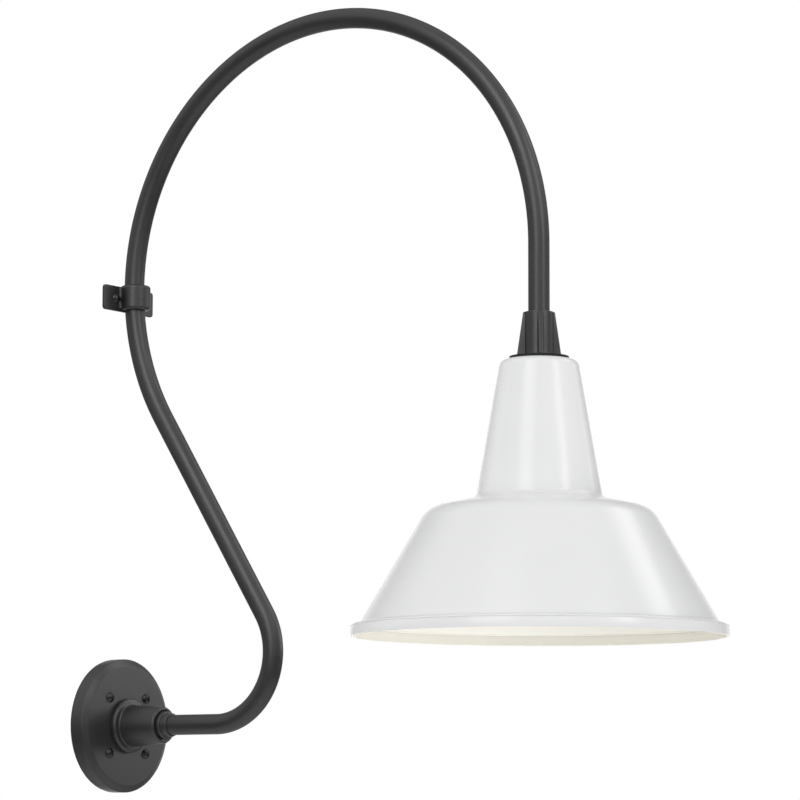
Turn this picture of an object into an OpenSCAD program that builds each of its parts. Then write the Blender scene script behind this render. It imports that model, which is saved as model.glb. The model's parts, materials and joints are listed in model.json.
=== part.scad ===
// Gooseneck barn light for a wall.
// Frame: +X points out of the wall, +Z up, and the origin is the centre of the wall plate on the wall.
// The arm lies in the plane Y = 0.

/* [Wall plate] */
// Outside diameter of the round plate
plate_d = 151; // [136:1:164]
// Depth of the plate's straight side
plate_side = 15.2; // [11:0.1:18]
// Width of the bevel round the face, along the radius
bevel_w = 7.5; // [3:0.5:10]
// Depth of that bevel
bevel_h = 4.3; // [3:0.1:7]
// Thickness of the cast plate
plate_wall = 3.5; // [2.5:0.5:4.5]
// Circle of the four face screws
screw_circle = 88.9; // [84:0.1:94]
// Diameter of a face screw's thread
screw_d = 4.2; // [3.5:0.1:4.8]
// Diameter of a screw head
screw_head_d = 12; // [9:0.1:13]
// Height of a screw head
screw_head_h = 4.2; // [2.5:0.1:5]

/* [Wall gasket] */
// Thickness of the foam ring behind the plate
gasket_t = 1.5; // [1:0.1:2.5]
// Width of the foam ring
gasket_w = 5; // [4:0.5:7]
// How far the foam ring's edge stays inside the plate's edge
gasket_inset = 0.6; // [0.3:0.1:1.5]

/* [Mounting bracket] */
// Thickness of the steel ring
bracket_t = 2; // [1.5:0.1:3]
// Metal outside the screw circle
bracket_margin = 9.5; // [8:0.5:11]
// Hole in the middle of the ring, for the supply wires
bracket_hole_d = 50; // [44:1:56]
// Distance between the two outlet box screws
box_screw_spacing = 88.9; // [84:0.1:94]
// Diameter of the outlet box screw holes
box_screw_hole_d = 5.2; // [4.6:0.1:6]
// Width of the welded nuts across their flats
weld_nut_af = 9; // [8:0.1:10]
// Height of the welded nuts
weld_nut_h = 4; // [3:0.5:5]
// Height of the earth screw above the middle
earth_screw_z = 36; // [34:0.5:38]

/* [Hub] */
// Diameter of the hub's flange
hub_flange_d = 61.5; // [54:0.5:66]
// Thickness of the flange
hub_flange_t = 6.5; // [5:0.5:9]
// Rounding of the flange's rim
hub_flange_round = 3.2; // [1:0.1:4]
// Diameter of the body where it leaves the flange
hub_base_d = 47; // [44:0.5:50]
// Diameter of the body at its outer end
hub_end_d = 41; // [40:0.5:43]
// Length of the hub from the plate's face
hub_len = 55; // [48:0.5:66]
// Rounding of the outer end
hub_end_round = 2.6; // [1:0.1:2.8]
// How far the outer end dishes in from its edge to the recess round the arm
end_dish = 1.8; // [0.5:0.1:2.4]
// Depth of that recess from the hub's end
mouth_depth = 4; // [3:0.1:5]
// Diameter of that recess
mouth_d = 33.8; // [33:0.1:34.5]
// Diameter of the threaded spigot through the plate
spigot_d = 33; // [30:0.5:36]
// Length of the spigot behind the plate's front wall
spigot_len = 7; // [6:0.5:9]
// Width of the spigot's locknut across its flats
locknut_af = 42; // [40:0.5:46]
// Thickness of the locknut
locknut_t = 4.5; // [3:0.5:5.5]
// Diameter of the wire passage in the hub
wire_hole_d = 15; // [12:0.5:17]
// How deep the arm sits in the hub
arm_in_hub = 44; // [36:1:46]

/* [Arm collar] */
// Diameter of the collar round the arm
collar_d = 31.4; // [29:0.1:32.5]
// How far the collar stands out of the hub's end
collar_out = 3.2; // [2:0.1:5]
// Diameter of the collar's nose
nose_d = 26.6; // [25.8:0.1:28]
// Length of the nose
nose_len = 7.2; // [2:0.1:9]

/* [Arm] */
// Outside diameter of the bent tube
tube_d = 22.8; // [21.5:0.1:24]
// Thickness of the tube
tube_wall = 2; // [1.2:0.1:3]
// Gap between the wall and the arm where the hoop comes closest to it
wall_gap = 11.2; // [9:0.1:16]
// Centreline radius of the first bend
first_bend_r = 78.6; // [66:0.1:90]
// Turn of the first bend, from straight out
first_bend_angle = 123; // [118:0.5:126]
// Length of the straight riser that leans to the wall
riser_len = 272.2; // [268:0.1:300]
// Centreline radius of the large hoop
hoop_r = 279.2; // [270:0.1:285]
// Straight drop from the hoop to the top of the shade holder
drop_len = 74; // [50:1:110]

/* [Wall clamp] */
// How far the clamp's middle lies below the hoop's widest point
clamp_drop = 12.6; // [0:0.1:20]
// Height of the clamp
clamp_h = 28.8; // [24:0.1:34]
// Thickness of the strap round the tube
strap_t = 5.8; // [4:0.1:7]
// How far the strap's loop stands above the ears' middle
loop_lift = 1.8; // [0:0.1:3]
// How far the loop's middle stands out from the tube's
loop_out = 1.4; // [0:0.1:2]
// Rounding of the strap's upper and lower edges
strap_round = 3.4; // [1:0.1:5]
// Width over both ears
ear_span = 86.4; // [82:0.1:96]
// Thickness of an ear
ear_t = 3.6; // [2.5:0.1:4]
// Corner radius of the ears
ear_corner = 3.5; // [1:0.1:5]
// Radius of the fillet between ear and strap
ear_fillet = 2.4; // [2:0.1:4]
// Distance between the two clamp screws
clamp_screw_spacing = 45.4; // [45:0.1:58]
// Diameter of a clamp screw's thread
clamp_screw_d = 4.8; // [4:0.1:5.2]
// Width of the back saddle
saddle_span = 74; // [70:0.5:78]
// Thickness of the back saddle's plate
saddle_t = 3.2; // [2.5:0.1:4]
// Width of the pad that stands on the wall
pad_w = 26; // [20:1:30]
// Height of that pad
pad_h = 22; // [18:1:24]
// Diameter of the wall screw hole in the pad
wall_screw_hole_d = 5.2; // [4.5:0.1:6]

/* [Shade holder] */
// Height of the ribbed holder
holder_h = 47.6; // [40:0.1:54]
// Diameter of the holder's core
core_d = 30.8; // [29.5:0.1:32]
// Width of a rib
rib_w = 5.5; // [3:0.1:7]
// Radius of the ribs at the top
rib_top_r = 17.3; // [16.5:0.1:19]
// Radius of the ribs at the foot
rib_foot_r = 23.9; // [21:0.1:25]
// Bearing that the first rib points to, from +X towards +Y
rib_bearing = -51; // [-90:1:0]
// Diameter of the holder's foot
foot_d = 49.4; // [48:0.1:52]
// Thickness of the foot
foot_t = 1.2; // [1:0.1:3]
// How deep the arm sits in the holder
arm_in_holder = 30; // [22:1:32]

/* [Shade gasket] */
// Diameter of the rubber disc under the holder
seal_d = 63; // [54:0.5:66]
// Thickness of the rubber disc
seal_t = 3.2; // [1:0.1:4]

/* [Shade] */
// Height of the whole shade
shade_h = 292.4; // [280:0.1:310]
// Thickness of the spun metal
shade_t = 1.2; // [0.9:0.1:1.6]
// Diameter at the lower edge
rim_d = 396; // [388:1:410]
// How much the rim's side leans in, on the radius
rim_lean = 1.2; // [0.4:0.1:3]
// Height of the rim's side
rim_h = 12.6; // [10:0.1:16]
// Rounding of the rim's upper corner
rim_round = 3.8; // [2.2:0.1:4]
// Radius where the skirt meets the rim
skirt_r = 188; // [184:0.1:189]
// Rise of the sheet from the rim's corner to the skirt's foot
rim_rise = 1.8; // [0.6:0.1:3]
// Radius of the sharp corner between skirt and shoulder
shoulder_r = 118.2; // [112:0.1:124]
// Height of that corner above the lower edge
shoulder_h = 134.4; // [126:0.1:138]
// Rounding of the shoulder
shoulder_round = 28.5; // [16:0.1:34]
// Radius of the corner between shoulder and neck
neck_foot_r = 66.7; // [60:0.1:70]
// Height of that corner above the lower edge
neck_foot_h = 145.5; // [142:0.1:150]
// Fillet at the neck's foot
neck_foot_round = 8.2; // [4:0.1:14]
// Radius of the sharp corner at the neck's top
neck_top_r = 41.2; // [39:0.1:44]
// Rounding of the neck's top
neck_top_round = 9; // [5:0.1:10]
// Height of the folded hem inside the rim
hem_h = 5; // [3:0.1:7]

/* [Socket] */
// Diameter of the threaded nipple through the shade
nipple_d = 10; // [9:0.1:11.5]
// Diameter of the wire bore in the nipple
nipple_bore_d = 6.4; // [5:0.1:7]
// How far the nipple reaches up into the holder
nipple_in_holder = 12; // [8:0.5:14]
// Diameter of the washer under the shade
washer_d = 36; // [28:1:40]
// Thickness of that washer
washer_t = 1.6; // [1:0.1:2.5]
// Width of the nipple's nut across its flats
nut_af = 17; // [16:0.5:22]
// Thickness of the nut
nut_t = 4.2; // [3:0.1:6]
// Diameter of the steel cap over the socket
cap_d = 43; // [42:0.5:48]
// Thickness of the cap's sheet
cap_t = 1; // [0.6:0.1:1.2]
// Height of the cap
cap_h = 15; // [13:0.5:20]
// Length of the cap's threaded neck
cap_neck_h = 4; // [3:0.5:6]
// Diameter of the porcelain body
socket_d = 40; // [38.5:0.5:40.5]
// Length of the porcelain body
socket_len = 46; // [44:0.5:52]
// Diameter of the well for the bulb's base
well_d = 28.6; // [28.2:0.1:30]
// Depth of the well
well_depth = 31; // [29:0.5:33]
// Thickness of the brass screw shell
shell_t = 0.4; // [0.3:0.1:0.5]
// Distance of a terminal screw from the middle
terminal_r = 12; // [10:0.5:13]

/* [Bulb] */
// Diameter of the bulb
bulb_d = 60; // [54:0.5:66]
// Length from the housing's top to the bottom of the dome
bulb_drop = 81.5; // [74:0.5:92]
// Length of the white housing
housing_len = 36; // [32:0.5:42]
// Diameter of the screw base
base_d = 26; // [25:0.1:26.8]
// Length of the screw base
base_h = 24; // [22:0.5:25]
// Thickness of the opal dome
dome_t = 1.6; // [1:0.1:2.5]
// Gap between the socket's mouth and the bulb's housing
bulb_gap = 0.8; // [0.4:0.1:2]

/* [Fits] */
// Radial clearance of a sliding fit, such as the tube in its sockets
slide_fit = 0.1; // [0.05:0.01:0.2]
// Radial clearance of a threaded piece in its tapped hole
thread_fit = 0.05; // [0.02:0.01:0.1]
// Radial clearance of a screw in a plain hole
hole_fit = 0.3; // [0.2:0.05:0.4]

/* [Hidden] */
$fn = 96;

// Small amount by which a cutter runs past the face it cuts
past = 1;

// Places along +X
plate_back_x = gasket_t;
bevel_x = plate_back_x + plate_side;
face_x = bevel_x + bevel_h;
front_wall_x = face_x - plate_wall;
hub_end_x = face_x + hub_len;
arm_start_x = hub_end_x - arm_in_hub;

// The arm's centreline in the plane Y = 0
tube_r = tube_d / 2;
// The straight out of the hub is as long as it takes to hold the hoop at wall_gap
first_bend_x = wall_gap + tube_r + hoop_r * (1 - sin(first_bend_angle))
    - first_bend_r * sin(first_bend_angle) - riser_len * cos(first_bend_angle);
first_bend_end = [
    first_bend_x + first_bend_r * sin(first_bend_angle),
    first_bend_r * (1 - cos(first_bend_angle))
];
riser_end = first_bend_end + riser_len * [cos(first_bend_angle), sin(first_bend_angle)];
hoop_c = riser_end + hoop_r * [sin(first_bend_angle), -cos(first_bend_angle)];
hoop_turn = first_bend_angle + 90;
shade_x = hoop_c.x + hoop_r;

// The riser is a hair slimmer than the bends and laps into both, so the tube is one solid
riser_lap = 1.5;
riser_slim = 0.05;

// Heights of the shade and of what hangs in it
holder_top_z = hoop_c.y - drop_len;
holder_z = holder_top_z - holder_h;
arm_end_z = holder_top_z - arm_in_holder;
shade_top_z = holder_z - seal_t;
rim_z = shade_top_z - shade_h;
washer_z = shade_top_z - shade_t - washer_t;
nut_z = washer_z - nut_t;
cap_z = nut_z - cap_neck_h;
nipple_top_z = holder_z + nipple_in_holder;
nipple_z = cap_z - cap_t;
// The porcelain stands this far below the cap's sheet, which leaves room for the wires
terminal_room = 6;
socket_top_z = cap_z - cap_t - terminal_room;
mouth_z = socket_top_z - socket_len;
well_top_z = mouth_z + well_depth;
contact_t = 1.6;
housing_z = mouth_z - bulb_gap;
base_top_z = housing_z + base_h;

// The clamp stands on the widest part of the hoop
clamp_z = hoop_c.y - clamp_drop;
loop_z = clamp_z + loop_lift;
loop_x = hoop_c.x - sqrt(hoop_r * hoop_r - pow(hoop_c.y - loop_z, 2)) + loop_out;
seat_x = wall_gap - slide_fit;
ear_x = seat_x + ear_t;

// Cross recess of a screw head: its width, then its length and depth as shares of the head's
recess_w = 1.2;
recess_len = 0.55;
recess_depth = 0.45;
recess_turn = 20;

// Earth screw's head, and the end of the face screws inside the bracket
earth_head_d = 8.8;
earth_head_h = 2.4;
screw_tip_x = bracket_t / 4;

// Hub: edge at the plate, hollow corner above the flange, and its set screw
hub_foot_round = 0.4;
hub_neck_round = 1.6;
set_screw_x = arm_start_x + 14;
set_screw_d = 6;
set_screw_len = 8;
set_screw_key = 3;

// Collar: outer corner, corner at the nose's foot and corner at its tip
collar_round = 1.2;
nose_foot_round = 0.8;
nose_round = 1.3;

// Clamp: stretch of the hoop that its bore follows, saddle, screw ends and the seats of the screw heads
clamp_bore_from = 172;
clamp_bore_to = 190;
saddle_h = clamp_h - 2;
sink_depth = 3;
clamp_screw_out = 1.5;
spot_sink = 0.3;

// Holder: how far a rib runs into the core, the slant at its top, and the set screw
rib_root = 1.5;
rib_slant = 1;
holder_screw_z = holder_top_z - 11;
holder_screw_d = 5;
holder_screw_key = 2.5;
holder_screw_sunk = 0.3;
// The set screw lies between two ribs, towards the wall
holder_screw_bearing = rib_bearing + 225;

// Shade: corner at the skirt's foot and thickness of the folded hem
skirt_foot_round = 1.4;
hem_t = shade_t * 1.1;
shade_steps = 12;

// Socket
cap_neck_t = 2.2;
cap_corner = 3;
socket_rim_d = socket_d + 3;
terminal_d = 3.4;
terminal_len = 5;
terminal_head_d = 7;
terminal_head_h = 2;
terminal_gap = 0.5;
contact_r = 4;
contact_neck_r = contact_r - 1;
shell_inset = 2;
shell_hole_r = contact_r + 1;

// Bulb: the dome is part of a ball that meets the housing at joint_z
dome_z = housing_z - bulb_drop + bulb_d / 2;
joint_z = housing_z - housing_len;
joint_r = sqrt(bulb_d * bulb_d / 4 - pow(joint_z - dome_z, 2));
housing_t = 4;
housing_flare = 30;
housing_top_r = base_d / 2 + 0.4;
housing_waist_r = housing_top_r + 0.6;
plug_h = 8;
hollow_drop = 6;
board_t = 1.6;
board_seat_r = joint_r - 1.6;
board_ledge = 2.4;
base_wall = 0.4;
insulator_r = contact_r + 3.4;
insulator_lap = 1;
insulator_h = 2.2;
insulator_rim_r = base_d / 2 - 2;
insulator_tip_r = contact_r + 1.5;
bulb_contact_h = 1;
rivet_len = 3;
rivet_r = contact_neck_r - slide_fit;

black = [0.16, 0.16, 0.17];
steel = [0.62, 0.63, 0.65];

// A piece turned about the X axis
module along_x() {
    rotate([0, 90, 0]) children();
}

// A ring whose axis is +Z
module ring(r_out, r_in, h) {
    difference() {
        cylinder(r = r_out, h = h);
        translate([0, 0, -past]) cylinder(r = r_in, h = h + 2 * past);
    }
}

// Domed screw head on z = 0 with a cross recess
module pan_head(d, h) {
    ball_r = (d * d / 4 + h * h) / (2 * h);
    difference() {
        intersection() {
            translate([0, 0, h - ball_r]) sphere(r = ball_r);
            cylinder(r = d, h = h + past);
        }
        for (turn = [0, 90])
            rotate([0, 0, turn + recess_turn])
                translate([-recess_len * d / 2, -recess_w / 2, h * (1 - recess_depth)])
                    cube([recess_len * d, recess_w, h]);
    }
}

// A screw whose head stands on z = 0 and whose thread runs down
module screw(thread_d, thread_len, head_d, head_h) {
    pan_head(head_d, head_h);
    translate([0, 0, -thread_len]) cylinder(d = thread_d, h = thread_len);
}

// A headless screw of length len, with a hexagon socket in its outer end
module grub(d, len, key_af) {
    difference() {
        cylinder(d = d, h = len);
        translate([0, 0, len / 2]) cylinder(d = key_af / cos(30), h = len, $fn = 6);
    }
}

// Places of the four face screws
module face_screws() {
    for (turn = [45:90:315])
        rotate([turn, 0, 0]) translate([0, screw_circle / 2, 0]) children();
}

// Rectangle with round corners, centred
module round_rect(w, h, r) {
    square([w - 2 * r, h], center = true);
    square([w, h - 2 * r], center = true);
    for (sx = [-1, 1], sy = [-1, 1])
        translate([sx * (w / 2 - r), sy * (h / 2 - r)]) circle(r = r, $fn = 32);
}

// The same rectangle as a slab: w along Y, h along Z, from x = 0 to x = t
module slab(w, h, t, r) {
    rotate([90, 0, 90]) linear_extrude(height = t) round_rect(w, h, r);
}

// Points of an arc that rounds the corner b of the path a, b, c
function unit(v) = v / norm(v);
function left_of(v) = [-v.y, v.x];
function cross_of(u, v) = u.x * v.y - u.y * v.x;
function corner_arc(a, b, c, r, steps) =
    let (
        u = unit(b - a), v = unit(c - b),
        side = cross_of(u, v) > 0 ? 1 : -1,
        turn = acos(u * v),
        cut = r * tan(turn / 2),
        centre = b - cut * u + side * r * left_of(u),
        spoke = -side * r * left_of(u)
    )
    [for (i = [0:steps])
        let (t = side * turn * i / steps)
        centre + [spoke.x * cos(t) - spoke.y * sin(t), spoke.x * sin(t) + spoke.y * cos(t)]];

// The corner b of a path, moved to the left by t
function moved_corner(a, b, c, t) =
    let (m = left_of(unit(b - a)) + left_of(unit(c - b))) b + 2 * t * m / (m * m);

// The path moved to the left by t, its inner corners rounded
function side_path(pts, radii, t, steps) =
    let (
        last = len(pts) - 1,
        moved = [for (i = [0:last])
            i == 0 ? pts[0] + t * left_of(unit(pts[1] - pts[0])) :
            i == last ? pts[last] + t * left_of(unit(pts[last] - pts[last - 1])) :
            moved_corner(pts[i - 1], pts[i], pts[i + 1], t)]
    )
    [for (i = [0:last])
        for (p = i == 0 || i == last ? [moved[i]] :
            corner_arc(moved[i - 1], moved[i], moved[i + 1],
                radii[i] - t * sign(cross_of(pts[i] - pts[i - 1], pts[i + 1] - pts[i])), steps))
            p];

// Wall side

module wall_gasket() {
    color([0.1, 0.1, 0.1]) along_x()
        ring(plate_d / 2 - gasket_inset, plate_d / 2 - gasket_inset - gasket_w, gasket_t);
}

module mounting_bracket() {
    color(steel) difference() {
        union() {
            along_x() cylinder(r = screw_circle / 2 + bracket_margin, h = bracket_t);
            face_screws() along_x()
                cylinder(d = weld_nut_af / cos(30), h = bracket_t + weld_nut_h, $fn = 6);
        }
        translate([-past, 0, 0]) along_x() {
            cylinder(d = bracket_hole_d, h = bracket_t + 2 * past);
            for (side = [-1, 1])
                translate([0, side * box_screw_spacing / 2, 0])
                    cylinder(d = box_screw_hole_d, h = bracket_t + 2 * past);
            translate([-earth_screw_z, 0, 0])
                cylinder(d = screw_d + 2 * thread_fit, h = bracket_t + 2 * past);
        }
        face_screws() translate([-past, 0, 0]) along_x()
            cylinder(d = screw_d + 2 * thread_fit, h = bracket_t + weld_nut_h + 2 * past);
    }
}

module earth_screw() {
    color("green") translate([bracket_t, 0, earth_screw_z]) along_x()
        screw(screw_d, bracket_t, earth_head_d, earth_head_h);
}

// Outline of the plate, turned about the X axis
module plate_shell() {
    r = plate_d / 2;
    rotate_extrude() polygon([
        [0, face_x], [r - bevel_w, face_x], [r, bevel_x], [r, plate_back_x],
        [r - plate_wall, plate_back_x], [r - plate_wall, bevel_x - plate_wall / 2],
        [r - bevel_w - plate_wall / 2, front_wall_x], [0, front_wall_x]
    ]);
}

module wall_plate() {
    color(black) difference() {
        along_x() plate_shell();
        translate([plate_back_x, 0, 0]) along_x()
            cylinder(d = spigot_d + 2 * hole_fit, h = face_x);
        face_screws() translate([plate_back_x, 0, 0]) along_x()
            cylinder(d = screw_d + 2 * hole_fit, h = face_x);
    }
}

module plate_screws() {
    color(black) face_screws() translate([face_x, 0, 0]) along_x()
        screw(screw_d, face_x - screw_tip_x, screw_head_d, screw_head_h);
}

// Hub

module hub_shell() {
    r = hub_flange_d / 2;
    outer = side_path(
        [
            [hub_base_d / 2 - past, face_x], [r, face_x], [r, face_x + hub_flange_t],
            [hub_base_d / 2, face_x + hub_flange_t], [hub_end_d / 2, hub_end_x],
            [mouth_d / 2, hub_end_x - end_dish]
        ],
        [0, hub_foot_round, hub_flange_round, hub_neck_round, hub_end_round, 0], 0, 8
    );
    rotate_extrude() polygon(concat(
        [[0, front_wall_x - spigot_len], [spigot_d / 2, front_wall_x - spigot_len],
            [spigot_d / 2, face_x]],
        outer,
        [[mouth_d / 2, hub_end_x - mouth_depth], [0, hub_end_x - mouth_depth]]
    ));
}

module hub() {
    color(black) difference() {
        along_x() hub_shell();
        translate([arm_start_x, 0, 0]) along_x()
            cylinder(r = tube_r + slide_fit, h = arm_in_hub + past);
        along_x() cylinder(d = wire_hole_d, h = hub_end_x);
        translate([set_screw_x, 0, 0]) rotate([180, 0, 0])
            cylinder(d = set_screw_d + 2 * thread_fit, h = hub_flange_d);
    }
}

module hub_locknut() {
    color(steel) translate([front_wall_x - locknut_t, 0, 0]) along_x() difference() {
        cylinder(d = locknut_af / cos(30), h = locknut_t, $fn = 6);
        translate([0, 0, -past])
            cylinder(d = spigot_d + 2 * thread_fit, h = locknut_t + 2 * past);
    }
}

module hub_set_screw() {
    color(black) translate([set_screw_x, 0, -tube_r]) rotate([180, 0, 0])
        grub(set_screw_d, set_screw_len, set_screw_key);
}

module arm_collar() {
    start = hub_end_x - mouth_depth;
    step = hub_end_x + collar_out;
    tip = step + nose_len;
    inside = tube_r + slide_fit;
    color(black) along_x() rotate_extrude() polygon(concat(
        [[inside, start], [collar_d / 2, start]],
        corner_arc([collar_d / 2, start], [collar_d / 2, step], [nose_d / 2, step], collar_round, 6),
        corner_arc([collar_d / 2, step], [nose_d / 2, step], [nose_d / 2, tip], nose_foot_round, 4),
        corner_arc([nose_d / 2, step], [nose_d / 2, tip], [inside, tip], nose_round, 6),
        [[inside, tip]]
    ));
}

// Arm

// The tube's wall in section, drawn thinner by slim on both sides
module tube_section(slim = 0) {
    difference() {
        circle(r = tube_r - slim);
        circle(r = tube_r - tube_wall + slim);
    }
}

// A straight stretch of the tube, from z = 0 upwards
module straight_tube(len, slim = 0) {
    linear_extrude(height = len) tube_section(slim);
}

// A bend of centreline radius bend_r in the plane Y = 0, between two bearings from +X towards +Z
module bent(bend_r, from, to) {
    rotate([90, 0, 0]) rotate([0, 0, from]) rotate_extrude(angle = to - from)
        translate([bend_r, 0]) children();
}

module gooseneck_tube() {
    color(black) {
        translate([arm_start_x, 0, 0]) along_x() straight_tube(first_bend_x - arm_start_x);
        translate([first_bend_x, 0, first_bend_r])
            bent(first_bend_r, -90, first_bend_angle - 90) tube_section();
        translate([first_bend_end.x, 0, first_bend_end.y]) rotate([0, 90 - first_bend_angle, 0])
            translate([0, 0, -riser_lap]) straight_tube(riser_len + 2 * riser_lap, riser_slim);
        translate([hoop_c.x, 0, hoop_c.y]) bent(hoop_r, 0, hoop_turn) tube_section();
        translate([shade_x, 0, arm_end_z]) straight_tube(hoop_c.y - arm_end_z);
    }
}

// Wall clamp

// Hollow that the arm fills in the clamp
module clamp_bore() {
    translate([hoop_c.x, 0, hoop_c.y]) bent(hoop_r, clamp_bore_from, clamp_bore_to)
        circle(r = tube_r + slide_fit);
}

// Places of the two clamp screws
module clamp_screw_places(x) {
    for (side = [-1, 1])
        translate([x, side * clamp_screw_spacing / 2, clamp_z]) children();
}

// Plan of the concave fillet between the strap and one ear
module ear_fillet_plan(strap_r) {
    rise = ear_x + ear_fillet - loop_x;
    reach = sqrt(pow(strap_r + ear_fillet, 2) - rise * rise);
    touch = strap_r / (strap_r + ear_fillet);
    difference() {
        polygon([[loop_x, 0], [ear_x - ear_t / 2, 0], [ear_x - ear_t / 2, reach], [ear_x, reach],
            [loop_x + rise * touch, reach * touch]]);
        translate([ear_x + ear_fillet, reach]) circle(r = ear_fillet);
    }
}

module clamp_strap() {
    strap_r = tube_r + slide_fit + strap_t;
    half = clamp_h / 2;
    color(black) difference() {
        union() {
            translate([loop_x, 0, loop_z]) rotate_extrude() polygon(concat(
                [[0, -half]],
                corner_arc([0, -half], [strap_r, -half], [strap_r, half], strap_round, 8),
                corner_arc([strap_r, -half], [strap_r, half], [0, half], strap_round, 8),
                [[0, half]]
            ));
            translate([seat_x, 0, clamp_z]) slab(ear_span, clamp_h, ear_t, ear_corner);
            for (side = [0, 1]) mirror([0, side, 0])
                translate([0, 0, loop_z - half + strap_round / 2])
                    linear_extrude(height = clamp_h - strap_round - loop_lift)
                        ear_fillet_plan(strap_r);
        }
        translate([seat_x - clamp_h, -ear_span, clamp_z - clamp_h])
            cube([clamp_h, 2 * ear_span, 2 * clamp_h]);
        clamp_bore();
        clamp_screw_places(seat_x - past) along_x()
            cylinder(d = clamp_screw_d + 2 * hole_fit, h = ear_t + 2 * past);
        clamp_screw_places(ear_x - spot_sink) along_x()
            cylinder(d = screw_head_d + 2 * hole_fit, h = spot_sink + screw_head_h);
    }
}

module clamp_saddle() {
    plate_x = seat_x - saddle_t;
    color(black) difference() {
        union() {
            translate([plate_x, 0, clamp_z])
                slab(saddle_span, saddle_h, saddle_t, ear_corner);
            translate([0, 0, clamp_z]) slab(pad_w, pad_h, plate_x + saddle_t / 2, ear_corner);
        }
        translate([-past, 0, clamp_z]) along_x()
            cylinder(d = wall_screw_hole_d, h = seat_x + 2 * past);
        translate([seat_x - sink_depth, 0, clamp_z]) along_x()
            cylinder(r1 = wall_screw_hole_d / 2, r2 = wall_screw_hole_d, h = sink_depth + past / 2);
        clamp_screw_places(plate_x - past) along_x()
            cylinder(d = clamp_screw_d + 2 * thread_fit, h = saddle_t + 2 * past);
    }
}

module clamp_screws() {
    color(black) clamp_screw_places(ear_x - spot_sink) along_x()
        screw(clamp_screw_d, ear_t - spot_sink + saddle_t + clamp_screw_out,
            screw_head_d, screw_head_h);
}

// Shade holder

module at_shade(z) {
    translate([shade_x, 0, z]) children();
}

// One rib, standing on the foot and leaning in to the top
module rib() {
    rotate([90, 0, 0]) translate([0, 0, -rib_w / 2]) linear_extrude(height = rib_w)
        polygon([
            [core_d / 2 - rib_root, 0], [rib_foot_r, 0], [rib_foot_r, foot_t],
            [rib_top_r, holder_h - rib_slant], [rib_top_r - rib_slant, holder_h],
            [core_d / 2 - rib_root, holder_h]
        ]);
}

module holder_screw_place() {
    translate([shade_x, 0, holder_screw_z]) rotate([0, 0, holder_screw_bearing])
        rotate([0, 90, 0]) children();
}

module shade_holder() {
    color(black) difference() {
        at_shade(holder_z) union() {
            cylinder(d = foot_d, h = foot_t);
            cylinder(d = core_d, h = holder_h);
            for (turn = [0:90:270]) rotate([0, 0, rib_bearing + turn]) rib();
        }
        at_shade(arm_end_z) cylinder(r = tube_r + slide_fit, h = arm_in_holder + past);
        at_shade(holder_z - past)
            cylinder(d = nipple_d + 2 * thread_fit, h = holder_h);
        holder_screw_place() cylinder(d = holder_screw_d + 2 * thread_fit, h = core_d);
    }
}

module holder_set_screw() {
    color(black) holder_screw_place() translate([0, 0, tube_r])
        grub(holder_screw_d, core_d / 2 - tube_r - holder_screw_sunk, holder_screw_key);
}

module shade_gasket() {
    color([0.07, 0.07, 0.07]) at_shade(holder_z - seal_t)
        ring(seal_d / 2, nipple_d / 2 + hole_fit, seal_t);
}

// Shade

// Outer side of the shade, from the lower edge up to the middle
shade_corners = [
    [rim_d / 2, 0], [rim_d / 2 - rim_lean, rim_h], [skirt_r, rim_h + rim_rise],
    [shoulder_r, shoulder_h], [neck_foot_r, neck_foot_h], [neck_top_r, shade_h],
    [nipple_d / 2 + hole_fit, shade_h]
];
shade_radii =
    [0, rim_round, skirt_foot_round, shoulder_round, neck_foot_round, neck_top_round, 0];

shade_outer = side_path(shade_corners, shade_radii, 0, shade_steps);
shade_inner = side_path(shade_corners, shade_radii, shade_t, shade_steps);
shade_last = len(shade_outer) - 1;

// The shade is one spun sheet in five nodes, which meet at the middle of a rounded corner.
// A corner's arc has shade_steps + 1 points, and the path has one point before the first arc.
function mid_corner(n) = 1 + (n - 1) * (shade_steps + 1) + shade_steps / 2;
rim_cut = mid_corner(2);
shoulder_cut = mid_corner(3);
neck_cut = mid_corner(4);
top_cut = mid_corner(5);

// The sheet between two points of its path
function sheet_between(from, to) = concat(
    [for (i = [from:to]) shade_outer[i]],
    [for (i = [to:-1:from]) shade_inner[i]]
);

module spun() {
    color([0.93, 0.93, 0.93]) at_shade(rim_z) rotate_extrude($fn = 180) children();
}

module shade_top() {
    spun() polygon(sheet_between(top_cut, shade_last));
}

module shade_neck() {
    spun() polygon(sheet_between(neck_cut, top_cut));
}

module shade_shoulder() {
    spun() polygon(sheet_between(shoulder_cut, neck_cut));
}

module shade_skirt() {
    spun() polygon(sheet_between(rim_cut, shoulder_cut));
}

// The rim, with the hem folded in behind its lower edge
module shade_rim() {
    edge = shade_inner[0];
    lean = unit(shade_corners[1] - shade_corners[0]);
    spun() polygon(concat(
        sheet_between(0, rim_cut),
        [edge + hem_h * lean, edge + hem_h * lean + hem_t * left_of(lean), edge + hem_t * left_of(lean)]
    ));
}

// What holds the socket

module shade_washer() {
    color(steel) at_shade(washer_z) ring(washer_d / 2, nipple_d / 2 + hole_fit, washer_t);
}

module nipple() {
    color(steel) at_shade(nipple_z)
        ring(nipple_d / 2, nipple_bore_d / 2, nipple_top_z - nipple_z);
}

module nipple_nut() {
    color(steel) at_shade(nut_z) difference() {
        cylinder(d = nut_af / cos(30), h = nut_t, $fn = 6);
        translate([0, 0, -past]) cylinder(d = nipple_d + 2 * thread_fit, h = nut_t + 2 * past);
    }
}

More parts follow.
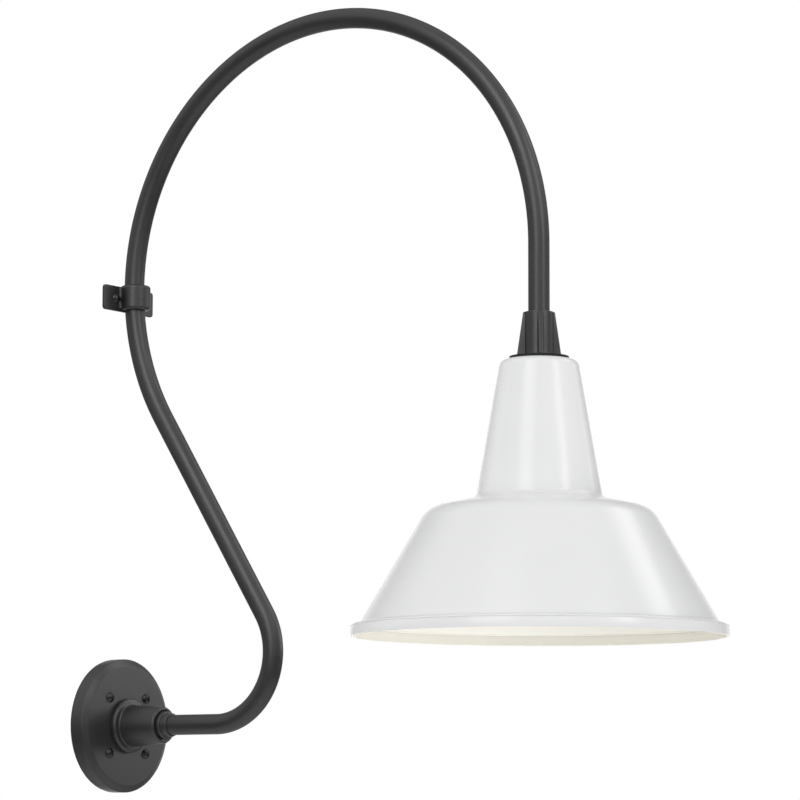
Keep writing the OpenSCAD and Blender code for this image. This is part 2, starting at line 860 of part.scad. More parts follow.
module socket_cap() {
    bore_r = nipple_d / 2 + thread_fit;
    r = cap_d / 2;
    color(steel) at_shade(0) rotate_extrude() polygon([
        [bore_r, nut_z], [bore_r + cap_neck_t, nut_z], [bore_r + cap_neck_t, cap_z],
        [r - cap_corner, cap_z], [r, cap_z - cap_corner], [r, cap_z - cap_h],
        [r - cap_t, cap_z - cap_h], [r - cap_t, cap_z - cap_corner],
        [r - cap_corner, cap_z - cap_t], [bore_r, cap_z - cap_t]
    ]);
}

module terminal_places(z) {
    for (side = [-1, 1]) translate([shade_x, side * terminal_r, z]) children();
}

module socket_body() {
    color([0.95, 0.94, 0.9]) difference() {
        at_shade(mouth_z) union() {
            cylinder(d = socket_d, h = socket_len);
            cylinder(d = socket_rim_d, h = socket_len - cap_h);
        }
        at_shade(mouth_z - past) cylinder(d = well_d, h = well_depth + past);
        at_shade(well_top_z - past) cylinder(r = contact_r, h = contact_t + past);
        terminal_places(socket_top_z - terminal_len)
            cylinder(d = terminal_d + 2 * thread_fit, h = terminal_len + past);
    }
}

module socket_terminals() {
    color("goldenrod") terminal_places(socket_top_z)
        screw(terminal_d, terminal_len - terminal_gap, terminal_head_d, terminal_head_h);
}

module socket_shell() {
    r_out = well_d / 2 - slide_fit;
    shell_h = well_depth - shell_inset;
    color("goldenrod") at_shade(mouth_z + shell_inset) difference() {
        cylinder(r = r_out, h = shell_h);
        translate([0, 0, -past]) cylinder(r = r_out - shell_t, h = shell_h - shell_t + past);
        cylinder(r = shell_hole_r, h = shell_h + past);
    }
}

module socket_contact() {
    color("goldenrod") at_shade(well_top_z - contact_t) union() {
        cylinder(r = contact_neck_r, h = contact_t + past / 2);
        translate([0, 0, contact_t]) cylinder(r = contact_r - slide_fit, h = contact_t - slide_fit);
    }
}

// Bulb

// Points of the housing's side from the top down, moved inwards by t
function housing_side(t) = side_path(
    [[housing_top_r, housing_z], [housing_waist_r, housing_z - housing_len / 4],
        [joint_r, joint_z]],
    [0, housing_flare, 0], -t, 8
);

module bulb_housing() {
    inner = housing_side(housing_t);
    hollow_z = housing_z - hollow_drop;
    plug_r = base_d / 2 - base_wall - slide_fit;
    board_top_z = joint_z + board_t;
    color("white") at_shade(0) difference() {
        rotate_extrude() polygon(concat(
            [[0, housing_z + plug_h], [plug_r, housing_z + plug_h], [plug_r, housing_z]],
            housing_side(0),
            [[0, joint_z]]
        ));
        rotate_extrude() polygon(concat(
            [[0, hollow_z]],
            [for (p = inner) if (p.y < hollow_z && p.y > board_top_z) p],
            [[board_seat_r - board_ledge, board_top_z], [board_seat_r - board_ledge, joint_z],
                [0, joint_z]]
        ));
        translate([0, 0, joint_z - past]) cylinder(r = board_seat_r, h = board_t + past);
    }
}

module bulb_dome() {
    color([0.97, 0.97, 0.95]) at_shade(dome_z) difference() {
        sphere(d = bulb_d);
        sphere(r = bulb_d / 2 - dome_t);
        translate([0, 0, joint_z - dome_z]) cylinder(d = bulb_d, h = bulb_d);
    }
}

module led_board() {
    color("white") at_shade(joint_z) cylinder(r = board_seat_r - slide_fit, h = board_t);
}

module bulb_base() {
    color(steel) at_shade(housing_z) difference() {
        cylinder(d = base_d, h = base_h);
        translate([0, 0, -past])
            cylinder(r = base_d / 2 - base_wall, h = base_h - base_wall + past);
        cylinder(r = insulator_r + slide_fit, h = base_h + past);
    }
}

module bulb_insulator() {
    color([0.08, 0.08, 0.1]) at_shade(base_top_z) difference() {
        union() {
            translate([0, 0, -insulator_lap]) cylinder(r = insulator_r, h = insulator_lap);
            cylinder(r1 = insulator_rim_r, r2 = insulator_tip_r, h = insulator_h);
        }
        translate([0, 0, -insulator_lap - past])
            cylinder(r = contact_neck_r, h = insulator_lap + insulator_h + 2 * past);
    }
}

module bulb_contact() {
    color("silver") at_shade(base_top_z + insulator_h) union() {
        cylinder(r = contact_r, h = bulb_contact_h);
        translate([0, 0, -rivet_len]) cylinder(r = rivet_r, h = rivet_len);
    }
}

wall_gasket();
mounting_bracket();
earth_screw();
wall_plate();
plate_screws();
hub();
hub_locknut();
hub_set_screw();
arm_collar();
gooseneck_tube();
clamp_strap();
clamp_saddle();
clamp_screws();
shade_holder();
holder_set_screw();
shade_gasket();
shade_top();
shade_neck();
shade_shoulder();
shade_skirt();
shade_rim();
shade_washer();
nipple();
nipple_nut();
socket_cap();
socket_body();
socket_terminals();
socket_shell();
socket_contact();
bulb_housing();
bulb_dome();
led_board();
bulb_base();
bulb_insulator();
bulb_contact();
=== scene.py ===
import json
import math

import bmesh
import bpy
from mathutils import Matrix, Vector


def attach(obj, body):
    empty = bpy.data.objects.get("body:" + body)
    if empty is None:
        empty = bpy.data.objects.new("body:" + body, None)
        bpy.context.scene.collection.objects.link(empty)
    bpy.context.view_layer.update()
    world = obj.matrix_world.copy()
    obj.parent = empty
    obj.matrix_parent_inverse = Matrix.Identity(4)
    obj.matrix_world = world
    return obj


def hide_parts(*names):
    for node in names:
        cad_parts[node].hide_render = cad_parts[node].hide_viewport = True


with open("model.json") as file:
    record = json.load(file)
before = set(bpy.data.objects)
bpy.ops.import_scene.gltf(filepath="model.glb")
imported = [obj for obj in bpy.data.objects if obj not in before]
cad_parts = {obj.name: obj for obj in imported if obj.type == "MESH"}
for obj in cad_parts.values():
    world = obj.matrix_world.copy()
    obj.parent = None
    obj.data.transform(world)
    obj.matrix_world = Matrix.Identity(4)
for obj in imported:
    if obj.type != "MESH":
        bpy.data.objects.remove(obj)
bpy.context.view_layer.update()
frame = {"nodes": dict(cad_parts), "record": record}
NODES = frame["nodes"]
TAU = 2 * math.pi
MM = 0.001

# Camera of the photograph, solved from it: millimetres, metres and degrees
LENS = 153.82
CAMERA_TURN = (54.33, -7.02, 0.15)
LOOKED_AT = Vector((0.40039, 0, 0.34676))
CAMERA_DISTANCE = 3.7092

# Main sizes in metres, as in the CAD source
TUBE_R = 0.0114
TUBE_WALL = 0.002
ARM_START_X = 0.032
FIRST_BEND_X = 0.149974
FIRST_BEND_R = 0.0786
FIRST_BEND_TURN = math.radians(123)
RISER_LEN = 0.2722
HOOP_R = 0.2792
ARM_DROP = 0.104
SHADE_T = 0.0012
HEM_H = 0.0106  # set from the photograph, deeper than the CAD's 0.005
SHADE_X = 0.581
RIM_Z = 0.084558
SHADE_NODES = ("shade_top", "shade_neck", "shade_shoulder", "shade_skirt", "shade_rim")
PLATE_FACE_X = 0.021
SCREW_CIRCLE_R = 0.04445
SCREW_PLACES = [(SCREW_CIRCLE_R * math.cos(math.radians(t)), SCREW_CIRCLE_R * math.sin(math.radians(t)))
                for t in (45, 135, 225, 315)]
CLAMP_X, CLAMP_Y, CLAMP_Z = 0.0144, 0.0227, 0.489158
HOLDER_Z = 0.380158
HOLDER_TURN = -51  # bearing of the first rib, in degrees
BULB_BASE_Z = 0.312158
SCREW_SHELL_Z = 0.314958
LAMP_PITCH = 3.63 * MM

SHARP = 34  # edges that turn by more degrees than this stay crisp
NOISE_LOW, NOISE_HIGH = 0.3, 0.7  # the part of 0 to 1 that Blender's noise mostly keeps to


# ---- stage: camera, lights, floor ----

def view_axes():
    """Right, up and back of the photograph's camera."""
    yaw, pitch, roll = (math.radians(a) for a in CAMERA_TURN)
    back = Vector((math.cos(yaw) * math.cos(pitch), -math.sin(yaw) * math.cos(pitch), math.sin(pitch)))
    right = (-back).cross(Vector((0, 0, 1))).normalized()
    up = right.cross(-back)
    return (math.cos(roll) * right + math.sin(roll) * up,
            math.cos(roll) * up - math.sin(roll) * right, back)


def make_camera():
    """The camera that took the photograph."""
    right, up, back = view_axes()
    data = bpy.data.cameras.new("camera")
    data.sensor_width = 36
    data.lens = LENS
    cam = bpy.data.objects.new("camera", data)
    turn = Matrix((right, up, back)).transposed().to_4x4()
    cam.matrix_world = Matrix.Translation(LOOKED_AT + CAMERA_DISTANCE * back) @ turn
    data.clip_end = 60
    bpy.context.scene.collection.objects.link(cam)
    bpy.context.scene.camera = cam


def softbox(name, turn, rise, distance, size, glow, target=(0.45, 0, 0.30), cone=180, mirrored=True):
    """A rectangular lamp aimed at the light. turn is from the camera towards the right, rise above level.

    glow is the lamp's radiance, where white paper in the studio is about 1; with a narrow cone all of its
    power goes into the cone, so glow is low there. A lamp that isn't mirrored doesn't show in gloss.
    """
    turn, rise = math.radians(turn), math.radians(rise)
    right, _, back = view_axes()
    ahead = Vector((back.x, back.y, 0)).normalized()
    side = Vector((right.x, right.y, 0)).normalized()
    aim = math.cos(rise) * (math.cos(turn) * ahead + math.sin(turn) * side) + Vector((0, 0, math.sin(rise)))
    data = bpy.data.lights.new(name, "AREA")
    data.shape = "RECTANGLE"
    data.size, data.size_y = size
    data.energy = glow * math.pi * size[0] * size[1]
    data.spread = math.radians(cone)
    lamp = bpy.data.objects.new(name, data)
    lamp.location = Vector(target) + distance * aim
    lamp.rotation_euler = aim.to_track_quat("Z", "Y").to_euler()
    lamp.visible_camera = False
    lamp.visible_glossy = mirrored
    bpy.context.scene.collection.objects.link(lamp)


def make_world(ambient, low, high, beyond):
    """White backdrop behind the light, in even light of strength ambient.

    Elsewhere gloss shows a grey room, from low at its foot to high at its top. Towards the backdrop, the top
    of the room is only as light as beyond.
    """
    world = bpy.data.worlds.new("studio")
    bpy.context.scene.world = world
    world.use_nodes = True
    tree = world.node_tree
    tree.nodes.clear()
    rays = add(tree, "ShaderNodeLightPath").outputs
    seen = add(tree, "ShaderNodeMath", {0: rays["Is Camera Ray"], 1: rays["Is Transmission Ray"]},
               operation="MAXIMUM").outputs[0]
    _, _, back = view_axes()
    away = -Vector((back.x, back.y, 0)).normalized()
    where = add(tree, "ShaderNodeTexCoord").outputs["Generated"]
    ahead = add(tree, "ShaderNodeVectorMath", {0: where, 1: tuple(away)},
                operation="DOT_PRODUCT").outputs["Value"]
    level = add(tree, "ShaderNodeSeparateXYZ", {0: where}).outputs[2]
    # ahead is 1 straight behind the light and 0 beside it, level is 0 at the horizon and 1 overhead
    top = remap(tree, ahead, (0.3, 0.6), high, beyond)
    room = remap(tree, level, (-0.05, 0.35), low, top)
    wall = remap(tree, ahead, (0.84, 0.96), room, 1.0, interpolation_type="SMOOTHSTEP")
    dim = add(tree, "ShaderNodeBackground", {"Color": (1, 1, 1, 1), "Strength": ambient})
    around = add(tree, "ShaderNodeBackground", {"Color": (1, 1, 1, 1), "Strength": wall})
    white = add(tree, "ShaderNodeBackground", {"Color": (1, 1, 1, 1), "Strength": 1.0})
    gloss = add(tree, "ShaderNodeMixShader",
                {0: rays["Is Glossy Ray"], 1: dim.outputs[0], 2: around.outputs[0]})
    mix = add(tree, "ShaderNodeMixShader", {0: seen, 1: gloss.outputs[0], 2: white.outputs[0]})
    add(tree, "ShaderNodeOutputWorld", {"Surface": mix.outputs[0]})


def make_floor(height, half):
    """Pale floor, which only shows from above."""
    middle_x = 0.4
    corners = ((-half, -half), (half, -half), (half, half), (-half, half))
    mesh = bpy.data.meshes.new("floor")
    mesh.from_pydata([(x + middle_x, y, height) for x, y in corners], [], [(0, 1, 2, 3)])
    floor = bpy.data.objects.new("floor", mesh)
    bpy.context.scene.collection.objects.link(floor)
    mat, tree, shader, where = new_material("floor_pale")
    cloud = add(tree, "ShaderNodeTexNoise", {"Vector": where, "Scale": 0.8, "Detail": 3.0})
    tint = blend_colour(tree, cloud.outputs["Fac"], (0.86, 0.86, 0.86), (0.90, 0.90, 0.90))
    set_inputs(tree, shader, {"Base Color": tint, "Roughness": 0.8})
    under = add(tree, "ShaderNodeNewGeometry").outputs["Backfacing"]
    clear = add(tree, "ShaderNodeBsdfTransparent")
    mix = add(tree, "ShaderNodeMixShader", {0: under, 1: shader.outputs[0], 2: clear.outputs[0]})
    out = next(n for n in tree.nodes if n.type == "OUTPUT_MATERIAL")
    tree.links.new(mix.outputs[0], out.inputs["Surface"])
    floor.data.materials.append(mat)


# ---- node helpers ----

def set_inputs(tree, node, inputs):
    """Sets a node's inputs by name or number. A socket is linked, and a colour gets its alpha."""
    for key, value in inputs.items():
        socket = node.inputs[key]
        if isinstance(value, bpy.types.NodeSocket):
            tree.links.new(value, socket)
        elif isinstance(value, (tuple, list)) and len(value) == 3 and len(socket.default_value) == 4:
            socket.default_value = (*value, 1)
        else:
            socket.default_value = value


def add(tree, kind, inputs=None, **settings):
    """A new node, with its settings and inputs."""
    node = tree.nodes.new(kind)
    for key, value in settings.items():
        setattr(node, key, value)
    set_inputs(tree, node, inputs or {})
    return node


def new_material(name):
    """A material, its nodes, its shader and the place on the object that its patterns follow."""
    mat = bpy.data.materials.new(name)
    mat.use_nodes = True
    tree = mat.node_tree
    tree.nodes.clear()
    shader = add(tree, "ShaderNodeBsdfPrincipled")
    add(tree, "ShaderNodeOutputMaterial", {"Surface": shader.outputs[0]})
    where = add(tree, "ShaderNodeTexCoord").outputs["Object"]
    return mat, tree, shader, where


def blend_colour(tree, fac, a, b):
    """Colour from a to b as a noise goes from low to high."""
    ramp = add(tree, "ShaderNodeValToRGB", {"Fac": fac})
    ramp.color_ramp.elements[0].color = (*a, 1)
    ramp.color_ramp.elements[0].position = NOISE_LOW
    ramp.color_ramp.elements[1].color = (*b, 1)
    ramp.color_ramp.elements[1].position = NOISE_HIGH
    return ramp.outputs["Color"]


def noise(tree, where, scale, detail=2.0, rough=0.5):
    return add(tree, "ShaderNodeTexNoise",
               {"Vector": where, "Scale": scale, "Detail": detail, "Roughness": rough}).outputs["Fac"]


def remap(tree, value, span, low, high, **settings):
    """Maps the span of a value onto low to high, and holds the ends."""
    return add(tree, "ShaderNodeMapRange",
               {"Value": value, "From Min": span[0], "From Max": span[1], "To Min": low, "To Max": high},
               **settings).outputs[0]


def spread(tree, value, low, high):
    """Maps a noise onto low to high."""
    return remap(tree, value, (NOISE_LOW, NOISE_HIGH), low, high)


def weighted(tree, *parts):
    """Sum of (socket, weight) pairs."""
    total = None
    for socket, weight in parts:
        term = add(tree, "ShaderNodeMath", {0: socket, 1: weight}, operation="MULTIPLY").outputs[0]
        total = term if total is None else add(tree, "ShaderNodeMath", {0: total, 1: term}).outputs[0]
    return total


def bump(tree, height, depth):
    """Normal of a surface whose height pattern is depth metres deep."""
    return add(tree, "ShaderNodeBump", {"Height": height, "Distance": depth, "Strength": 1.0}).outputs["Normal"]


# ---- materials ----

def coated(name, dark, light, rough, depth, peel=420, grain=1500, level=0.5, coat=0.0):
    """A sprayed or baked coat: clouded tone, orange peel and a fine grain."""
    mat, tree, shader, where = new_material(name)
    cloud = noise(tree, where, 16, 4.0)
    fine = noise(tree, where, grain, 2.0)
    height = weighted(tree, (noise(tree, where, peel, 1.0), 0.7), (fine, 0.3))
    set_inputs(tree, shader, {
        "Base Color": blend_colour(tree, cloud, dark, light),
        "Roughness": spread(tree, weighted(tree, (cloud, 0.7), (fine, 0.3)), rough[0], rough[1]),
        "Normal": bump(tree, height, depth),
        "Specular IOR Level": level,
        "Coat Weight": coat,
    })
    return mat


def enamel(name, dark, light, rough):
    """Gloss paint on the spun shade: faint rings from the spinning tool, and orange peel."""
    mat, tree, shader, where = new_material(name)
    centred = add(tree, "ShaderNodeVectorMath", {0: where, 1: (-SHADE_X, 0.0, 0.0)}).outputs[0]
    parts = add(tree, "ShaderNodeSeparateXYZ", {0: centred})
    flat = add(tree, "ShaderNodeCombineXYZ", {0: parts.outputs[0], 1: parts.outputs[1]}).outputs[0]
    radius = add(tree, "ShaderNodeVectorMath", {0: flat}, operation="LENGTH").outputs["Value"]
    along = add(tree, "ShaderNodeMath", {0: parts.outputs[2], 1: radius}, operation="SUBTRACT").outputs[0]
    rings = add(tree, "ShaderNodeTexNoise", {"W": along, "Scale": 190.0, "Detail": 1.5},
                noise_dimensions="1D").outputs["Fac"]
    peel = noise(tree, where, 260, 1.0)
    cloud = noise(tree, where, 7, 3.0)
    set_inputs(tree, shader, {
        "Base Color": blend_colour(tree, cloud, dark, light),
        "Roughness": spread(tree, cloud, rough[0], rough[1]),
        "Normal": bump(tree, weighted(tree, (rings, 0.6), (peel, 0.4)), 0.000012),
    })
    return mat


def metal(name, dark, light, rough):
    """Bare or plated metal with a drawn or turned grain."""
    mat, tree, shader, where = new_material(name)
    drawn = add(tree, "ShaderNodeVectorMath", {0: where, 1: (1.0, 1.0, 12.0)}, operation="MULTIPLY").outputs[0]
    grain = noise(tree, drawn, 260, 3.0, 0.6)
    cloud = noise(tree, where, 60, 3.0)
    set_inputs(tree, shader, {
        "Base Color": blend_colour(tree, cloud, dark, light),
        "Metallic": 1.0,
        "Roughness": spread(tree, weighted(tree, (grain, 0.6), (cloud, 0.4)), rough[0], rough[1]),
        "Normal": bump(tree, grain, 0.00001),
    })
    return mat


def foam(name):
    """Black closed-cell foam."""
    mat, tree, shader, where = new_material(name)
    cells = add(tree, "ShaderNodeTexVoronoi", {"Vector": where, "Scale": 1100.0}).outputs["Distance"]
    set_inputs(tree, shader, {
        "Base Color": blend_colour(tree, cells, (0.012, 0.012, 0.012), (0.04, 0.04, 0.04)),
        "Roughness": 0.95,
        "Normal": bump(tree, cells, 0.0003),
    })
    return mat


def opal(name):
    """Frosted opal plastic that light enters a little."""
    mat, tree, shader, where = new_material(name)
    frost = noise(tree, where, 2200, 2.0)
    cloud = noise(tree, where, 22, 2.0)
    set_inputs(tree, shader, {
        "Base Color": blend_colour(tree, cloud, (0.88, 0.88, 0.86), (0.92, 0.92, 0.905)),
        "Roughness": spread(tree, frost, 0.42, 0.55),
        "Normal": bump(tree, frost, 0.000008),
        "Subsurface Weight": 0.25,
        "Subsurface Radius": (0.004, 0.004, 0.0035),
        "Subsurface Scale": 1.0,
    })
    return mat


# ---- mesh helpers ----

def shade_smooth(piece):
    """Smooth shading on every face."""
    for p in piece.data.polygons:
        p.use_smooth = True


def new_piece(name, verts, faces, material, body):
    """A smooth-shaded piece of a body. material may be a list."""
    mesh = bpy.data.meshes.new(name)
    mesh.from_pydata([tuple(v) for v in verts], [], faces)
    mesh.validate()
    mesh.update()
    piece = bpy.data.objects.new(name, mesh)
    bpy.context.scene.collection.objects.link(piece)
    materials = material if isinstance(material, list) else [material]
    for m in materials:
        mesh.materials.append(m)
    shade_smooth(piece)
    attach(piece, body)
    return piece


def sharpen(piece, angle):
    """Marks edges over the angle as sharp, so that smooth shading keeps them crisp."""
    bm = bmesh.new()
    bm.from_mesh(piece.data)
    bmesh.ops.recalc_face_normals(bm, faces=bm.faces)
    for e in bm.edges:
        e.smooth = len(e.link_faces) != 2 or e.calc_face_angle(0) < math.radians(angle)
    bm.to_mesh(piece.data)
    bm.free()


def corner(a, b, c, r, steps):
    """Points of an arc of radius r that rounds the corner b of the path a, b, c."""
    u, v = (b - a).normalized(), (c - b).normalized()
    side = 1 if u.x * v.y - u.y * v.x > 0 else -1
    turn = math.acos(max(-1, min(1, u.dot(v))))
    normal = Vector((-u.y, u.x))
    centre = b - r * math.tan(turn / 2) * u + side * r * normal
    spoke = -side * r * normal
    found = []
    for i in range(steps + 1):
        t = side * turn * i / steps
        found.append(centre + Vector((spoke.x * math.cos(t) - spoke.y * math.sin(t),
                                      spoke.x * math.sin(t) + spoke.y * math.cos(t))))
    return found


def left(v):
    """Unit vector to the left of v."""
    v = v.normalized()
    return Vector((-v.y, v.x))


def side_path(points, radii, t, steps):
    """The path moved to the left by t, with its inner corners rounded. Radii shrink or grow with t."""
    last = len(points) - 1
    moved = []
    for i, p in enumerate(points):
        if i == 0:
            moved.append(p + t * left(points[1] - p))
        elif i == last:
            moved.append(p + t * left(p - points[i - 1]))
        else:
            m = left(p - points[i - 1]) + left(points[i + 1] - p)
            moved.append(p + 2 * t * m / m.dot(m))
    found = [moved[0]]
    for i in range(1, last):
        a, b = points[i] - points[i - 1], points[i + 1] - points[i]
        turn = 1 if a.x * b.y - a.y * b.x > 0 else -1
        found += corner(moved[i - 1], moved[i], moved[i + 1], radii[i] - t * turn, steps)
    return found + [moved[last]]


def lathe(name, profile, centre, material, segments, zones=None, axis="z"):
    """Spins a closed profile of (radius, height) points. zones gives a material index for each edge."""
    verts, faces, index = [], [], []
    count = len(profile)
    for s in range(segments):
        c, d = math.cos(TAU * s / segments), math.sin(TAU * s / segments)
        for r, h in profile:
            verts.append(centre + (Vector((r * c, r * d, h)) if axis == "z" else Vector((h, r * c, r * d))))
    for s in range(segments):
        a, b = s * count, (s + 1) % segments * count
        for i in range(count):
            j = (i + 1) % count
            faces.append((a + i, b + i, b + j, a + j))
            index.append(zones[i] if zones else 0)
    piece = new_piece(name, verts, faces, material, "light")
    for p, k in zip(piece.data.polygons, index):
        p.material_index = k
    sharpen(piece, SHARP)
    return piece


# ---- pieces ----

def arm_path():
    """Centreline of the arm in the plane Y = 0, as (point, direction) pairs."""
    found = []

    def straight(p, d, length, steps):
        for i in range(steps):
            found.append((p + d * length * i / steps, d))
        return p + d * length

    def bend(p, d, radius, turn, steps):
        side = Vector((-d.y, d.x)) * (1 if turn > 0 else -1)
        centre = p + radius * side
        for i in range(steps):
            found.append((centre + Matrix.Rotation(turn * i / steps, 2) @ (p - centre),
                          Matrix.Rotation(turn * i / steps, 2) @ d))
        return centre + Matrix.Rotation(turn, 2) @ (p - centre), Matrix.Rotation(turn, 2) @ d

    d = Vector((1, 0))
    p = straight(Vector((ARM_START_X, 0)), d, FIRST_BEND_X - ARM_START_X, 6)
    p, d = bend(p, d, FIRST_BEND_R, FIRST_BEND_TURN, 64)
    p = straight(p, d, RISER_LEN, 10)
    p, d = bend(p, d, HOOP_R, -FIRST_BEND_TURN - math.pi / 2, 150)
    found.append((straight(p, d, ARM_DROP, 6), d))
    return found


def make_arm(material):
    """The bent tube: an outer and an inner wall, closed at both ends."""
    path = arm_path()
    around = 72
    verts, faces = [], []
    for radius in (TUBE_R, TUBE_R - TUBE_WALL):
        for p, d in path:
            side = Vector((-d.y, d.x))
            for k in range(around):
                a = TAU * k / around
                q = p + side * radius * math.cos(a)
                verts.append((q.x, radius * math.sin(a), q.y))
    rows = len(path)
    for shell in (0, 1):
        start = shell * rows * around
        for i in range(rows - 1):
            for k in range(around):
                m = (k + 1) % around
                quad = (start + i * around + k, start + i * around + m,
                        start + (i + 1) * around + m, start + (i + 1) * around + k)
                faces.append(quad if shell else quad[::-1])
    for end in (0, rows - 1):
        for k in range(around):
            m = (k + 1) % around
            o, n = end * around, (rows + end) * around
            faces.append((o + k, o + m, n + m, n + k))
    piece = new_piece("arm_tube", verts, faces, material, "light")
    sharpen(piece, angle=40)
    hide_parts("gooseneck_tube")


def make_shade(outside, inside):
    """One spun sheet. The rim's edge is folded inwards into a hem."""
    corners = ((197.4, 0, 0), (198.35, 5.6, 24), (196.5, 12.8, 3.8), (188, 14.4, 1.4), (118.2, 134.4, 28.5),
               (66.7, 145.5, 8.2), (41.2, 292.4, 9), (5.3, 292.4, 0))
    points = [Vector((r * MM, h * MM)) for r, h, _ in corners]
    radii = [rounding * MM for _, _, rounding in corners]
    outer = side_path(points, radii, t=0, steps=20)
    inner = side_path(points, radii, t=SHADE_T, steps=20)
    lean = (points[1] - points[0]).normalized()
    inward = left(lean)
    fold = SHADE_T * 1.1
    edge_r = (SHADE_T + fold) / 2
    start = outer[0] + lean * edge_r
    roll = []
    for i in range(9):
        t = math.pi * i / 8
        roll.append(start + inward * edge_r - inward * edge_r * math.cos(t) - lean * edge_r * math.sin(t))
    deep = inward * 2 * edge_r
    tip = start + deep + lean * (HEM_H - edge_r)
    crest = tip + lean * fold * 0.3
    lip = [tip, crest - inward * fold * 0.25, crest - inward * fold * 0.8]
    wall = [p for p in inner if p.y > lip[-1].y + 0.4 * MM]
    profile = outer[1:] + wall[::-1] + lip[::-1] + roll[::-1]
    # the gloss white wraps round the folded edge as far as its lowest point
    first_inside = len(outer) - 1
    last_inside = first_inside + len(wall) + len(lip) + len(roll) // 2
    zones = [1 if first_inside <= i < last_inside else 0 for i in range(len(profile))]
    piece = lathe("shade_sheet", [(p.x, p.y) for p in profile], Vector((SHADE_X, 0, RIM_Z)),
                  [outside, inside], 256, zones)
    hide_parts(*SHADE_NODES)


def path_of(*corners):
    """Outline from (x, y, rounding) corners in millimetres, each corner drawn as an arc."""
    points = [Vector((x * MM, y * MM)) for x, y, _ in corners]
    return side_path(points, [r * MM for _, _, r in corners], t=0, steps=7)


def turned(name, outline, centre, material, node, axis="z", segments=144):
    """A solid of revolution about a line through centre, which stands for a CAD node."""
    piece = lathe(name, [(p.x, p.y) for p in outline], centre, material, segments, axis=axis)
    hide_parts(node)
    return piece


def settle(piece):
    """Applies a piece's modifiers to its mesh."""
    mesh = bpy.data.meshes.new_from_object(piece.evaluated_get(bpy.context.evaluated_depsgraph_get()))
    piece.modifiers.clear()
    piece.data = mesh


def cut(piece, *cutters):
    """Takes closed cutter meshes away from a piece. A cutter is a (vertices, faces) pair."""
    for verts, faces in cutters:
        mesh = bpy.data.meshes.new("cutter")
        mesh.from_pydata([tuple(v) for v in verts], [], faces)
        tool = bpy.data.objects.new("cutter", mesh)
        bpy.context.scene.collection.objects.link(tool)
        carve = piece.modifiers.new("carve", "BOOLEAN")
        carve.operation, carve.solver, carve.object = "DIFFERENCE", "EXACT", tool
        settle(piece)
        bpy.data.objects.remove(tool)
        bpy.data.meshes.remove(mesh)
    shade_smooth(piece)
    sharpen(piece, SHARP)


def prism(place, rings):
    """Closed mesh through rings of (x, y, z) points with equal counts, carried to its place by a matrix."""
    count = len(rings[0])
    verts = [place @ Vector(p) for ring in rings for p in ring]
    faces = [tuple(reversed(range(count))), tuple(range(len(verts) - count, len(verts)))]
    for i in range(len(rings) - 1):
        for k in range(count):
            m = (k + 1) % count
            faces.append((i * count + k, i * count + m, (i + 1) * count + m, (i + 1) * count + k))
    return verts, faces


def round_ring(radius, z, count=24):
    """Circle of points round +Z."""
    return [(radius * math.cos(TAU * k / count), radius * math.sin(TAU * k / count), z) for k in range(count)]


def cross_recess(place, reach, width, top, depth, turn):
    """Tapered cutter for the cross in a screw head: long and wide at the top, nearly a point below."""
    def cross(half, w, z):
        w /= 2
        wings = [(half, -w), (half, w), (w, w), (w, half), (-w, half), (-w, w),
                 (-half, w), (-half, -w), (-w, -w), (-w, -half), (w, -half), (w, -w)]
        c, d = math.cos(turn), math.sin(turn)
        return [(c * x - d * y, d * x + c * y, z) for x, y in wings]
    return prism(place, [cross(reach * 0.28, width * 0.55, top - depth), cross(reach, width, top),
                         cross(reach, width, top + depth)])


def machine_screws(name, node, places, head_d, head_h, thread_d, length, material, turns):
    """Domed screws with a cross recess. Each place is a matrix whose +Z points out of the head."""
    edge_break, tip = 0.12 * MM, 0.4 * MM
    for i, (place, turn) in enumerate(zip(places, turns)):
        ball = (head_d ** 2 / 4 + head_h ** 2) / (2 * head_h)
        edge = math.asin(min(1, head_d / 2 / ball))
        dome = [(ball * math.sin(edge * k / 12), head_h - ball + ball * math.cos(edge * k / 12))
                for k in range(13)]
        dome = [(r, h) for r, h in dome if r < head_d / 2 - edge_break]
        foot = [(head_d / 2, 0.34 * MM), (head_d / 2 - edge_break, 0.05 * MM), (thread_d / 2, 0.0),
                (thread_d / 2, -length + tip), (thread_d / 2 - tip, -length)]
        rows = dome[1:] + foot
        around = 40
        verts = [Vector((0, 0, head_h))]
        for r, h in rows:
            verts += [Vector((r * math.cos(TAU * k / around), r * math.sin(TAU * k / around), h))
                      for k in range(around)]
        faces = [(0, 1 + k, 1 + (k + 1) % around) for k in range(around)]
        for j in range(len(rows) - 1):
            for k in range(around):
                m = (k + 1) % around
                faces.append((1 + j * around + k, 1 + (j + 1) * around + k,
                              1 + (j + 1) * around + m, 1 + j * around + m))
        faces.append(tuple(1 + (len(rows) - 1) * around + k for k in reversed(range(around))))
        piece = new_piece("%s_%d" % (name, i + 1), [place @ v for v in verts], faces, material, "light")
        cut(piece, cross_recess(place, reach=head_d * 0.29, width=1.25 * MM, top=head_h - 0.18 * MM,
                                depth=head_h * 0.62, turn=turn))
        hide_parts(node)


def shell_rows(root_r, height, wall, hole, rounding):
    """Rows of a screw shell from its open foot up to the round shoulder and the flat top with a hole.

    Each row is (outer radius, outer height, inner radius, inner height).
    """
    side = height - rounding
    steps = int(side / LAMP_PITCH * 14)
    rows = [(root_r, side * i / steps, root_r - wall, side * i / steps) for i in range(steps + 1)]
    for i in range(1, 7):
        c, d = math.cos(math.pi * i / 12), math.sin(math.pi * i / 12)
        rows.append((root_r - rounding + rounding * c, side + rounding * d,
                     root_r - rounding + (rounding - wall) * c, side + (rounding - wall) * d))
    return rows + [(hole, height, hole, height - wall)]


